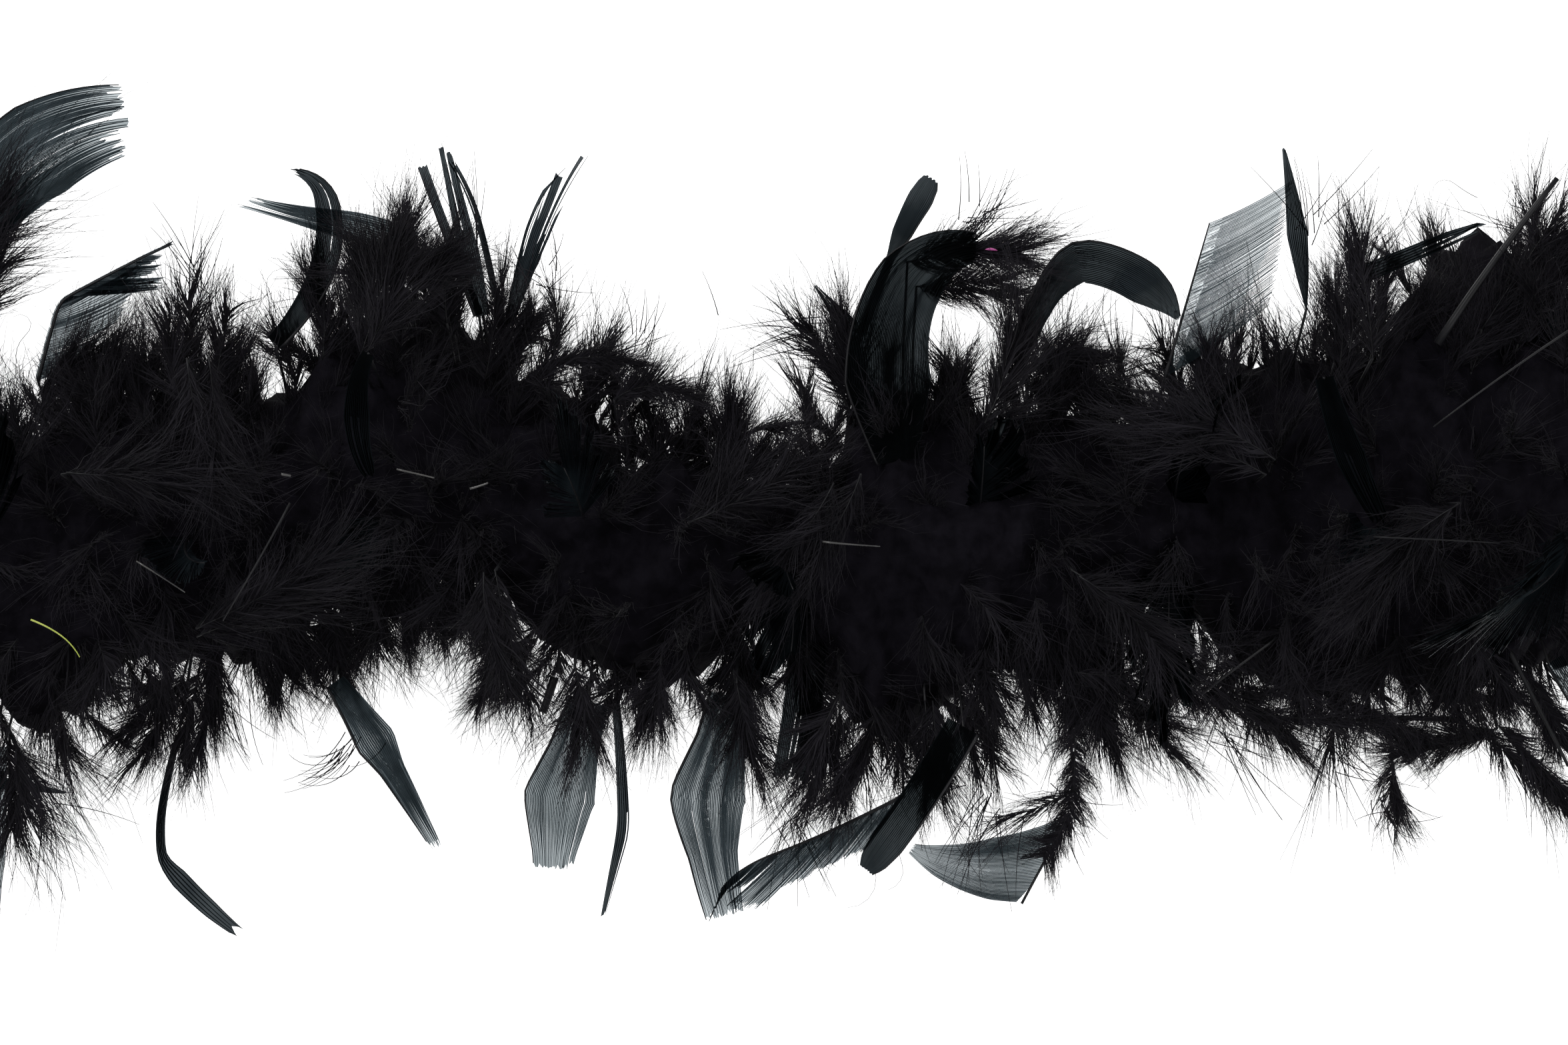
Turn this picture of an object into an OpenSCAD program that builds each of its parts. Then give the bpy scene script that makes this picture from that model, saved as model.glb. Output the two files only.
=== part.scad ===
// Feather boa: a twisted cord with puffs of down, bound quills and flat feathers
// all along it. It lies in an S on a table. The table is z = 0, and the origin is
// on the table under the middle of the S, with X along the S's longer side.

/* [Cord] */
// Thickness of the twisted core cord
cord_d = 4; // [3:0.5:4.5]
// Height of the cord's centre above the table
cord_h = 33; // [30:0.5:33.5]

/* [Down] */
// Radius of the dense down around the cord
down_r = 35; // [34:0.5:37]
// Length of one puff of down along the cord
puff_l = 37; // [30:1:37.5]
// Radius of the way through a puff that the cord runs in
puff_bore_r = 5; // [4.5:0.5:6]

/* [Binding] */
// Gap between the cord and the thread that binds the quills to it
tie_gap = 0.6; // [0.4:0.1:0.8]
// Thickness of the layer of binding thread
tie_t = 0.8; // [0.5:0.1:1]
// Length of one binding along the cord
tie_l = 3.6; // [2:0.1:4]

/* [Feathers] */
// Thickness of a bare quill
quill_d = 1.2; // [0.8:0.1:1.6]
// Reach of the longest flat feathers from the cord
reach = 92; // [80:1:95]
// Width of a flat feather at its widest
vane_w = 15; // [10:1:17]
// Thickness of a flat feather
vane_t = 0.8; // [0.6:0.1:1.2]

/* [Ends] */
// Length of bare cord from the last binding to each knot
tail_l = 14; // [10:1:20]
// Radius of the knot that stops each end of the cord
knot_r = 4.5; // [3.5:0.5:6]
// Length of the knot along the cord
knot_l = 9; // [7:1:12]
// Length of the frayed tassel of cord past the knot
fray_l = 12; // [8:1:16]

/* [Hidden] */
// Where the cord runs, seen from above: three rows joined by two round bends
ROUTE = [
    [128, -250], [60, -250], [0, -250], [-60, -250], [-120, -250], [-190, -250],
    [-238, -240], [-278, -213], [-305, -173], [-315, -125], [-305, -77],
    [-278, -37], [-238, -12], [-190, -6], [-130, -2], [-80, 6], [-20, -5],
    [40, 0], [100, 0], [150, 6], [190, 4], [238, 12], [278, 37], [305, 77],
    [315, 125], [305, 173], [278, 213], [238, 240], [190, 250], [120, 250],
    [60, 250], [0, 250], [-60, 250], [-128, 250]
];
STEPS = 2;            // smooth steps from one route point to the next
CORD_SIDES = 8;
SECTIONS = 14;
PUFFS = 3;            // puffs in a section
FANS = SECTIONS * PUFFS;
BLADES = 5;           // feathers in the fan at one binding
BEND = 20;            // half the stretch of cord that a bend is judged on
OUTLINE = 7;          // steps along each edge of a vane or a puff's profile
VANE_START = down_r + 1.5;
CUT = 200;            // larger than anything that it is cut from
CLEAR = 0.3;
function pad(n) = n < 10 ? str("0", n) : str(n);

// The smooth way through the route's points
function route_point(i) = ROUTE[min(max(i, 0), len(ROUTE) - 1)];
function bend_through(a, b, c, d, t) =
    0.5 * (2 * b + (c - a) * t + (2 * a - 5 * b + 4 * c - d) * t * t
    + (3 * b - a - 3 * c + d) * t * t * t);
WAY = concat(
    [for (i = [0:len(ROUTE) - 2], k = [0:STEPS - 1])
        bend_through(route_point(i - 1), route_point(i), route_point(i + 1),
                     route_point(i + 2), k / STEPS)],
    [route_point(len(ROUTE) - 1)]
);
DISTANCE = [for (i = 0, s = 0; i < len(WAY); s = s + step_after(i), i = i + 1) s];
function step_after(i) = i < len(WAY) - 1 ? norm(WAY[i + 1] - WAY[i]) : 0;
CORD_L = DISTANCE[len(WAY) - 1];
X_AT = [for (i = [0:len(WAY) - 1]) [DISTANCE[i], WAY[i].x]];
Y_AT = [for (i = [0:len(WAY) - 1]) [DISTANCE[i], WAY[i].y]];
function place(s) = [lookup(s, X_AT), lookup(s, Y_AT), cord_h];
function heading(s, half = 4) =
    let (d = place(s + half) - place(s - half)) atan2(d.y, d.x);

// Fans of feathers stand at even distances, with a puff of down between each two
PITCH = (CORD_L - 2 * tail_l) / FANS;
function fan_at(k) = tail_l + k * PITCH;

// How sharply the cord bends to the left at s, as a share of a full bend
function left_bend(s) =
    let (turn = heading(s + BEND) - heading(s - BEND))
    (turn > 180 ? turn - 360 : turn < -180 ? turn + 360 : turn) / 20;

// Rise of a feather above the level on the cord's left, and its reach
function blade_rise(k, j) =
    90 + (j - (BLADES - 1) / 2) * 40 + 11 * sin((k - FANS / 2) * 137 + (j - 2) * 71);
function blade_reach(k, j) =
    let (inward = cos(blade_rise(k, j)) * left_bend(fan_at(k)))
    reach * (0.9 + 0.1 * cos((k - FANS / 2) * 101 + (j - 2) * 53))
    * (1 - 0.3 * max(0, min(1, inward)));

module along_cord(s) {
    translate(place(s)) rotate([0, 0, heading(s)]) rotate([0, 90, 0]) children();
}

module core_cord() {
    ring = [for (a = [0:CORD_SIDES - 1]) 360 * a / CORD_SIDES];
    points = [for (s = DISTANCE) let (h = heading(s), p = place(s))
        for (a = ring)
            p + cord_d / 2 * [-sin(h) * cos(a), cos(h) * cos(a), sin(a)]];
    last = len(DISTANCE) - 1;
    sides = [for (i = [0:last - 1], a = [0:CORD_SIDES - 1])
        let (b = (a + 1) % CORD_SIDES)
        [i * CORD_SIDES + a, (i + 1) * CORD_SIDES + a,
         (i + 1) * CORD_SIDES + b, i * CORD_SIDES + b]];
    near_cap = [for (a = [0:CORD_SIDES - 1]) a];
    far_cap = [for (a = [CORD_SIDES - 1:-1:0]) last * CORD_SIDES + a];
    color([0.05, 0.05, 0.06])
        polyhedron(points, concat([near_cap], sides, [far_cap]), convexity = 10);
}

// A layer of thread wound round the cord
module thread_layer(length) {
    inner = cord_d / 2 + tie_gap;
    difference() {
        cylinder(h = length, r = inner + tie_t, center = true, $fn = 32);
        cylinder(h = length + 1, r = inner, center = true, $fn = 32);
    }
}

module binding(first, last) {
    color([0.08, 0.08, 0.09])
        for (k = [first:last])
            along_cord(fan_at(k)) thread_layer(tie_l);
}

module puff() {
    profile = [for (i = [0:2 * OUTLINE]) let (a = -90 + 90 * i / OUTLINE)
        [puff_bore_r + (down_r - puff_bore_r) * cos(a), puff_l / 2 * sin(a)]];
    rotate_extrude($fn = 64) polygon(profile);
}

module down(section) {
    color([0.03, 0.04, 0.05])
        for (i = [0:PUFFS - 1])
            difference() {
                along_cord(fan_at((section - 1) * PUFFS + i + 0.5)) puff();
                translate([-CUT * 5, -CUT * 5, -CUT]) cube([CUT * 10, CUT * 10, CUT]);
            }
}

// Puts children on a feather's own line: +Z leads away from the cord, X lies along it
module on_blade(k, j) {
    along_cord(fan_at(k)) rotate([0, 0, 90 + blade_rise(k, j)])
        rotate([0, 90, 0]) children();
}

function last_fan(section) = section * PUFFS - (section == SECTIONS ? 0 : 1);

module quills(section) {
    start = cord_d / 2 + tie_gap + tie_t + CLEAR;
    color([0.10, 0.10, 0.11])
        for (k = [(section - 1) * PUFFS:last_fan(section)], j = [0:BLADES - 1])
            on_blade(k, j)
                translate([0, 0, start])
                cylinder(h = VANE_START - start, d = quill_d, $fn = 24);
}

// Half the width of a vane, from its base at t = 0 to its tip at t = 1
function half_width(t) = vane_w / 2 * pow(max(sin(180 * pow(t, 0.75)), 0), 0.6);

module vane(length) {
    edge = [for (i = [1:OUTLINE - 1]) let (t = i / OUTLINE) [half_width(t), t * length]];
    other_edge = [for (i = [OUTLINE - 1:-1:1]) let (t = i / OUTLINE)
        [-half_width(t), t * length]];
    rotate([90, 0, 0])
        linear_extrude(height = vane_t, center = true)
        polygon(concat([[quill_d / 2, 0]], edge, [[0, length]], other_edge,
                       [[-quill_d / 2, 0]]));
}

module vanes(section) {
    color([0.16, 0.19, 0.21])
        for (k = [(section - 1) * PUFFS:last_fan(section)], j = [0:BLADES - 1])
            on_blade(k, j)
                translate([0, 0, VANE_START])
                vane(blade_reach(k, j) - VANE_START);
}

module end_whipping(s) {
    color([0.08, 0.08, 0.09]) along_cord(s) thread_layer(tie_l * 1.5);
}

// A knot past the cord's end face. way is 1 past the far end and -1 past the near one
module end_knot(s, way) {
    profile = [for (i = [0:OUTLINE]) let (a = 180 * i / OUTLINE)
        [i == 0 || i == OUTLINE ? cord_d / 2 : max(knot_r * pow(sin(a), 0.4), cord_d / 2),
         knot_l / 2 * (1 - cos(a))]];
    color([0.06, 0.06, 0.07])
        along_cord(s) mirror([0, 0, way > 0 ? 0 : 1])
        rotate_extrude($fn = 48) polygon(concat([[0, 0]], profile, [[0, knot_l]]));
}

module end_fray(s, way) {
    profile = [[0, 0], [cord_d / 2, 0], [cord_d * 0.7, fray_l * 0.35],
               [cord_d * 1.1, fray_l], [0, fray_l]];
    color([0.06, 0.06, 0.07])
        along_cord(s) mirror([0, 0, way > 0 ? 0 : 1])
        translate([0, 0, knot_l])
        rotate_extrude($fn = 48) polygon(profile);
}

core_cord();
end_whipping(tail_l * 0.4);  // end_whipping_a
end_whipping(CORD_L - tail_l * 0.4);  // end_whipping_b
end_knot(0, -1);  // end_knot_a
end_knot(CORD_L, 1);  // end_knot_b
end_fray(0, -1);  // end_fray_a
end_fray(CORD_L, 1);  // end_fray_b
for (i = [1:SECTIONS]) {
    down(i);
    quills(i);
    vanes(i);
}
for (i = [1:4]) {
    first = round((i - 1) * (FANS + 1) / 4);
    last = round(i * (FANS + 1) / 4) - 1;
    binding(first, last);
}
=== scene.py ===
import math

import bpy
import numpy as np
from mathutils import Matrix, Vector


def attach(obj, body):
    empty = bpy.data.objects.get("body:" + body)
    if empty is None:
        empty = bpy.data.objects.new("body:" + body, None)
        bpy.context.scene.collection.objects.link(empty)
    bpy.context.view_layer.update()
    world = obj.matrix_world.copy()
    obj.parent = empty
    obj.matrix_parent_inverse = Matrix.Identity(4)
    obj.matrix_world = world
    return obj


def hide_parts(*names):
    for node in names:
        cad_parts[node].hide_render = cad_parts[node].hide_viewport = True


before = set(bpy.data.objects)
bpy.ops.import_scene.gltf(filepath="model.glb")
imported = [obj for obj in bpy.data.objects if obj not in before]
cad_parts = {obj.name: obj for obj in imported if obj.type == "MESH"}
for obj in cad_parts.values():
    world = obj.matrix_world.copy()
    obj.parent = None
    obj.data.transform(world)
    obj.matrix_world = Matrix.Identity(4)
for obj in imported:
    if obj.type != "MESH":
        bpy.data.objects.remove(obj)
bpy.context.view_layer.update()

MM = 0.001
BODY = "root"
UP = np.array([0, 0, 1.0])

# ---- Driving sizes, in millimetres, and the boa's route, as part.scad has them ----
ROUTE = [
    (128, -250), (60, -250), (0, -250), (-60, -250), (-120, -250), (-190, -250),
    (-238, -240), (-278, -213), (-305, -173), (-315, -125), (-305, -77),
    (-278, -37), (-238, -12), (-190, -6), (-130, -2), (-80, 6), (-20, -5),
    (40, 0), (100, 0), (150, 6), (190, 4), (238, 12), (278, 37), (305, 77),
    (315, 125), (305, 173), (278, 213), (238, 240), (190, 250), (120, 250),
    (60, 250), (0, 250), (-60, 250), (-128, 250),
]
CORD_H = 33
CORD_D = 4
TAIL_L = 14
BINDING_L = 3.6
SECTIONS = 14
FANS_IN_SECTION = 3
BLADES = 5
REACH = 92
CLOSE_X = 182                  # how far each way the camera sees the middle row close up
FAR_SHARE = 0.75               # share of plumes kept where the camera doesn't come close
FLOOR_GAP = 0.4                # how far down that touches the table stays above it
DOWN_TOP = 36                  # how far the down reaches straight up from the cord
END_TAPER = 18                 # length over which the down thins towards the boa's ends
PLUMES = 275                   # plumes of down in a section that the camera sees close up

# How far the down reaches from the cord on its left and right side, along the middle row
FULLNESS = [
    # x, left, right
    (-190, 32, 48), (-168, 33, 53), (-151, 41, 48), (-140, 44, 42), (-124, 45, 43),
    (-111, 42, 41), (-101, 40, 41), (-84, 55, 38), (-71, 50, 34), (-57, 43, 33),
    (-44, 37, 39), (-36, 27, 43), (-28, 37, 46), (-17, 33, 42), (-8, 28, 30), (2, 18, 38),
    (10, 17, 60), (17, 41, 62), (25, 45, 53), (37, 38, 49), (47, 40, 46), (58, 38, 50),
    (68, 35, 46), (77, 36, 31), (87, 45, 35), (96, 47, 43), (104, 45, 50), (113, 50, 52),
    (122, 49, 55), (131, 47, 57), (142, 58, 55), (152, 68, 54), (160, 60, 51), (190, 50, 50),
]


# ---- Geometry helpers ----
def unit(v):
    """Vectors v at length 1."""
    return v / np.maximum(np.linalg.norm(v, axis=-1, keepdims=True), 1e-12)


def left_of(heading):
    """Level unit vectors to the left of headings in radians."""
    return np.stack([-np.sin(heading), np.cos(heading), 0 * heading], -1)


def tube_quads(rings, sides):
    """Quads round a tube of points that are numbered ring by ring."""
    first = (np.arange(rings - 1) * sides)[:, None]
    i, j = first + np.arange(sides), first + (np.arange(sides) + 1) % sides
    return np.stack([i, i + sides, j + sides, j], -1).reshape(-1, 4)


def grid_quads(rows, n, until):
    """Quads between each row of n points and the next, along the row's first points."""
    i = (rows * n)[:, None] + np.arange(until)[None]
    return np.stack([i, i + 1, i + n + 1, i + n], -1).reshape(-1, 4)


def smooth_route(steps):
    """The route as a smooth line of points in millimetres, at the cord's height."""
    p = np.array(ROUTE, float)
    p = np.vstack([p[:1], p, p[-1:]])
    t = (np.arange(steps) / steps)[:, None]
    parts = []
    for a, b, c, d in zip(p[:-3], p[1:-2], p[2:-1], p[3:]):
        parts.append(0.5 * (2 * b + (c - a) * t + (2 * a - 5 * b + 4 * c - d) * t**2
                            + (3 * b - a - 3 * c + d) * t**3))
    flat = np.vstack(parts + [p[-1:]])
    return np.column_stack([flat, np.full(len(flat), float(CORD_H))])


WAY = smooth_route(16)
ALONG = np.concatenate([[0], np.cumsum(np.linalg.norm(np.diff(WAY, axis=0), axis=1))])
CORD_L = ALONG[-1]
PITCH = (CORD_L - 2 * TAIL_L) / (SECTIONS * FANS_IN_SECTION)


def cord_at(s):
    """Points of the cord at distances s, with its heading there in radians."""
    s = np.asarray(s, float)
    at = np.stack([np.interp(s, ALONG, WAY[:, i]) for i in range(3)], -1)
    ahead = np.stack([np.interp(s + 3, ALONG, WAY[:, i]) for i in range(2)], -1)
    back = np.stack([np.interp(s - 3, ALONG, WAY[:, i]) for i in range(2)], -1)
    step = ahead - back
    return at, np.arctan2(step[..., 1], step[..., 0])


def fan_at(k):
    """Distance along the cord of the k-th fan of feathers."""
    return TAIL_L + k * PITCH


MIDDLE = slice(np.argmin(abs(ALONG - 0.33 * CORD_L)), np.argmin(abs(ALONG - 0.67 * CORD_L)))


def middle_s(x):
    """Distance along the cord where the middle row passes x."""
    return np.interp(x, WAY[MIDDLE, 0], ALONG[MIDDLE])


class Bundle:
    """Gathers the strips, tubes and slivers of one piece, each with a material number."""

    def __init__(self):
        self.points, self.faces, self.marks, self.count = [], [], [], 0

    def add(self, points, faces, mark=0):
        points = np.asarray(points, float).reshape(-1, 3)
        faces = np.asarray(faces, np.int64)
        if len(faces) == 0:
            return
        self.points.append(points)
        self.faces.append(faces + self.count)
        self.marks.append(np.full(len(faces), mark))
        self.count += len(points)

    def strips(self, lines, half, across, mark=0):
        """Ribbons along lines (K, n, 3), half as wide as half, spread along across."""
        k, n = lines.shape[:2]
        off = across * np.broadcast_to(half, (k, n))[..., None]
        points = np.stack([lines - off, lines + off], 2)
        first = (np.arange(k) * 2 * n)[:, None] + 2 * np.arange(n - 1)[None]
        quads = np.stack([first, first + 1, first + 3, first + 2], -1).reshape(-1, 4)
        self.add(points, quads, mark)

    def slivers(self, base, tip, across, half, mark=0):
        """Thin triangles from base to tip."""
        points = np.stack([base - across * half, base + across * half, tip], 1)
        self.add(points, np.arange(3 * len(base)).reshape(-1, 3), mark)

    def tube(self, line, radii, sides=5, mark=0):
        """A closed round tube along one line."""
        n = len(line)
        radii = np.broadcast_to(radii, (n,))
        ahead = unit(np.gradient(line, axis=0))
        ref = np.array([0.0, 0.0, 1.0]) if abs(ahead[0, 2]) < 0.9 else np.array([1.0, 0, 0])
        frame_n = unit(np.cross(ahead, ref))
        frame_b = np.cross(ahead, frame_n)
        turn = 2 * math.pi * np.arange(sides) / sides
        ring = (np.cos(turn)[None, :, None] * frame_n[:, None]
                + np.sin(turn)[None, :, None] * frame_b[:, None])
        points = line[:, None] + ring * radii[:, None, None]
        quads = tube_quads(n, sides)[:, [0, 3, 2, 1]]
        self.add(np.vstack([points.reshape(-1, 3), line[:1], line[-1:]]), quads, mark)
        a, b = np.arange(sides), (np.arange(sides) + 1) % sides
        near = np.stack([b, a, np.full(sides, n * sides)], -1)
        far = np.stack([a + (n - 1) * sides, b + (n - 1) * sides,
                        np.full(sides, n * sides + 1)], -1)
        self.faces.append(np.vstack([near, far]) + self.count - (n * sides + 2))
        self.marks.append(np.full(2 * sides, mark))

    def build(self, name, materials, slot, replaces=(), smooth=False):
        """Makes the piece: points in mm become a mesh in metres, kept above the table."""
        points = np.vstack(self.points)
        low = points[:, 2] < 3
        points[low, 2] = FLOOR_GAP + (3 - FLOOR_GAP) * np.exp((points[low, 2] - 3) / 3)
        mesh = bpy.data.meshes.new(name)
        mesh.vertices.add(len(points))
        mesh.vertices.foreach_set("co", (points * MM).astype(np.float32).ravel())
        corners = np.concatenate([f.ravel() for f in self.faces]).astype(np.int32)
        sizes = np.concatenate([np.full(len(f), f.shape[1]) for f in self.faces])
        starts = np.concatenate([[0], np.cumsum(sizes)[:-1]]).astype(np.int32)
        mesh.loops.add(len(corners))
        mesh.loops.foreach_set("vertex_index", corners)
        mesh.polygons.add(len(sizes))
        mesh.polygons.foreach_set("loop_start", starts)
        mesh.polygons.foreach_set("material_index",
                                  np.concatenate(self.marks).astype(np.int32))
        if smooth:
            mesh.polygons.foreach_set("use_smooth", np.ones(len(sizes), bool))
        mesh.update(calc_edges=True)
        for material in materials:
            mesh.materials.append(material)
        piece = bpy.data.objects.new(name, mesh)
        bpy.context.scene.collection.objects.link(piece)
        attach(piece, BODY)
        if replaces:
            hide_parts(*replaces)
        return piece


# ---- Materials ----
def new_material(name, colours, scale, roughness, sheen=0.0, specular=0.5, clear=0.0,
                 bump=0.0):
    """A Principled material whose colour and roughness vary by noise in object space."""
    material = bpy.data.materials.new(name)
    material.use_nodes = True
    nodes, links = material.node_tree.nodes, material.node_tree.links
    shader = nodes["Principled BSDF"]
    where = nodes.new("ShaderNodeTexCoord")
    noise = nodes.new("ShaderNodeTexNoise")
    noise.inputs["Scale"].default_value = scale
    noise.inputs["Detail"].default_value = 3
    links.new(where.outputs["Object"], noise.inputs["Vector"])
    ramp = nodes.new("ShaderNodeValToRGB")
    ramp.color_ramp.elements[0].position = 0.35
    ramp.color_ramp.elements[1].position = 0.65
    ramp.color_ramp.elements[0].color = (*colours[0], 1)
    ramp.color_ramp.elements[1].color = (*colours[1], 1)
    links.new(noise.outputs["Fac"], ramp.inputs["Fac"])
    links.new(ramp.outputs["Color"], shader.inputs["Base Color"])
    rough = nodes.new("ShaderNodeMapRange")
    rough.inputs["To Min"].default_value = roughness[0]
    rough.inputs["To Max"].default_value = roughness[1]
    links.new(noise.outputs["Fac"], rough.inputs["Value"])
    links.new(rough.outputs["Result"], shader.inputs["Roughness"])
    shader.inputs["Specular IOR Level"].default_value = specular
    shader.inputs["Sheen Weight"].default_value = sheen
    shader.inputs["Transmission Weight"].default_value = clear
    if clear:
        shader.inputs["IOR"].default_value = 1.05
    if bump:
        bumps = nodes.new("ShaderNodeBump")
        bumps.inputs["Strength"].default_value = bump
        bumps.inputs["Distance"].default_value = 0.001
        links.new(noise.outputs["Fac"], bumps.inputs["Height"])
        links.new(bumps.outputs["Normal"], shader.inputs["Normal"])
    return material


DOWN = new_material("down", [(0.0048, 0.0042, 0.0064), (0.0125, 0.0112, 0.0155)], 60,
                    (0.5, 0.75), sheen=0.03, specular=0.12)
DENSE = new_material("matted_down", [(0.003, 0.0026, 0.004), (0.007, 0.0062, 0.009)], 240,
                     (0.8, 0.95), specular=0.04, bump=0.8)
VANE = new_material("vane_barbs", [(0.006, 0.009, 0.011), (0.018, 0.025, 0.03)], 90,
                    (0.3, 0.45), specular=0.3, clear=0.5)
VANE_DARK = new_material("vane_barbs_dark", [(0.002, 0.003, 0.0036), (0.005, 0.0065, 0.008)],
                         90, (0.3, 0.45), specular=0.3, clear=0.25)
WEB_CLEAR = new_material("vane_web_clear", [(0.42, 0.48, 0.5), (0.7, 0.75, 0.78)], 70,
                         (0.1, 0.2), clear=1.0)
WEB_THIN = new_material("vane_web_thin", [(0.055, 0.07, 0.076), (0.17, 0.2, 0.215)], 70,
                        (0.15, 0.3), clear=1.0)
WEB_THICK = new_material("vane_web_thick", [(0.0003, 0.0005, 0.0007), (0.0024, 0.0034, 0.004)],
                         70, (0.3, 0.45), clear=0.95)
SHAFT = new_material("feather_shaft", [(0.004, 0.004, 0.005), (0.009, 0.009, 0.011)], 120,
                     (0.35, 0.5), specular=0.25)
# Bare quills: their gloss is real, but their colour, lighter than the dark shafts', is partly a
# painted glint
QUILL = new_material("bare_quill", [(0.02, 0.02, 0.022), (0.05, 0.048, 0.045)], 150,
                     (0.15, 0.3), specular=0.8)
CORD = new_material("cord_plies", [(0.006, 0.006, 0.007), (0.014, 0.014, 0.016)], 900,
                    (0.6, 0.85), sheen=0.1, specular=0.2, bump=0.5)
THREAD = new_material("binding_thread", [(0.01, 0.01, 0.012), (0.02, 0.02, 0.024)], 1200,
                      (0.45, 0.6), specular=0.35)
FIBRE = new_material("stray_fibre", [(0.35, 0.42, 0.06), (0.5, 0.55, 0.12)], 300, (0.4, 0.6))
FLECK = new_material("stray_fleck", [(0.35, 0.05, 0.22), (0.5, 0.1, 0.32)], 500, (0.4, 0.6))
VANE_LOOK = {"clear": [VANE, WEB_CLEAR, SHAFT], "thin": [VANE, WEB_THIN, SHAFT],
             "thick": [VANE_DARK, WEB_THICK, SHAFT]}
BARB, WEB, STEM = range(3)


# ---- Camera: straight above the middle row ----
def make_camera():
    """The camera, straight above the middle row, with its far ends out of view."""
    eye_height, field, field_height = 1.2, 0.336, 0.040
    camera = bpy.data.objects.new("camera", bpy.data.cameras.new("camera"))
    bpy.context.scene.collection.objects.link(camera)
    camera.location = (0, 0, eye_height)
    camera.rotation_euler = (0, 0, 0)
    camera.data.sensor_width = 36
    camera.data.lens = 36 * (eye_height - field_height) / field
    camera.data.clip_start, camera.data.clip_end = 0.05, 50
    bpy.context.scene.camera = camera


# ---- The cord, its bindings and its ends ----
def make_cord():
    """The whole cord as twisted plies, and its two knots."""
    plies, sides, lay_length, ring_gap = 3, 12, 11.0, 2.2
    s = np.linspace(0, CORD_L, int(CORD_L / ring_gap))
    line, heading = cord_at(s)
    turn = 2 * math.pi * np.arange(sides) / sides
    twist = 2 * math.pi * s[:, None] / lay_length
    lobes = CORD_D / 2 * (0.86 + 0.14 * np.cos(plies * (turn[None] - twist)))
    points = (line[:, None] + lobes[..., None]
              * (np.cos(turn)[None, :, None] * left_of(heading)[:, None]
                 + np.sin(turn)[None, :, None] * UP))
    cord = Bundle()
    cord.add(points, tube_quads(len(s), sides))
    piece = cord.build("core_cord_plies", [CORD], "cord", ["core_cord"], smooth=True)
    ends = [make_knot("a", 0, -1), make_knot("b", CORD_L, 1)]


def make_knot(end, s, way):
    """The overhand knot just past the cord's end, with its frayed tassel."""
    knot_l, knot_r, strand_r, fray_l, frays = 9.0, 4.5, 1.35, 12.0, 46
    at, heading = cord_at(s)
    ahead = way * np.array([math.cos(heading), math.sin(heading), 0])
    side = way * left_of(heading)
    t = np.linspace(0, 2 * math.pi, 72)
    spread = (knot_r - strand_r) / 3
    line = (at + ahead * (knot_l / 2)
            + (np.sin(t) + 2 * np.sin(2 * t))[:, None] * spread * side
            + (np.cos(t) - 2 * np.cos(2 * t))[:, None] * spread * UP
            - np.sin(3 * t)[:, None] * (knot_l / 2 - strand_r) * ahead)
    knot = Bundle()
    knot.tube(line, strand_r, 8)
    knot.tube(at + ahead * np.linspace(0, knot_l, 5)[:, None], CORD_D / 2 * 0.8, 8)
    piece = knot.build(f"knot_{end}", [CORD], "cord", [f"end_knot_{end}"], smooth=True)
    rng = np.random.default_rng(70 + way)
    fray = Bundle()
    for _ in range(frays):
        out = unit(rng.normal(size=3) * [0.2, 1, 1] @ np.array([ahead, side, UP]))
        v = np.linspace(0, 1, 7)[:, None]
        reach = fray_l * rng.uniform(0.6, 1.0)
        hair = (at + ahead * knot_l + out * rng.uniform(0, 1.2)
                + ahead * reach * v + out * reach * 0.32 * v**1.5)
        fray.tube(hair, np.linspace(0.22, 0.1, 7), 4)
    fray.build(f"fray_{end}", [CORD], "cord", [f"end_fray_{end}"])
    whip = Bundle()
    wind(whip, s - way * TAIL_L * 0.4, BINDING_L * 1.5)
    whip.build(f"whipping_{end}", [THREAD], "thread", [f"end_whipping_{end}"], smooth=True)
    return piece


def wind(bundle, s, length):
    """Thread wound round the cord at s, in touching turns."""
    radius, thread_r, points_a_turn = CORD_D / 2 + 0.75, 0.3, 14
    turns = int(length / (2 * thread_r))
    at, heading = cord_at(s)
    ahead = np.array([math.cos(heading), math.sin(heading), 0])
    t = np.linspace(0, 2 * math.pi * turns, turns * points_a_turn)
    line = (at + ahead * ((t / t[-1] - 0.5) * length)[:, None]
            + radius * (np.cos(t)[:, None] * left_of(heading) + np.sin(t)[:, None] * UP))
    bundle.tube(line, thread_r, 4)


def make_bindings():
    """The thread that binds each fan of feathers to the cord, in four pieces."""
    fans = SECTIONS * FANS_IN_SECTION + 1
    for part in range(4):
        first, last = round(part * fans / 4), round((part + 1) * fans / 4)
        bundle = Bundle()
        for k in range(first, last):
            wind(bundle, fan_at(k), BINDING_L)
        bundle.build(f"binding_thread_{part + 1:02d}", [THREAD], "thread",
                     [f"binding_{part + 1:02d}"], smooth=True)


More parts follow.
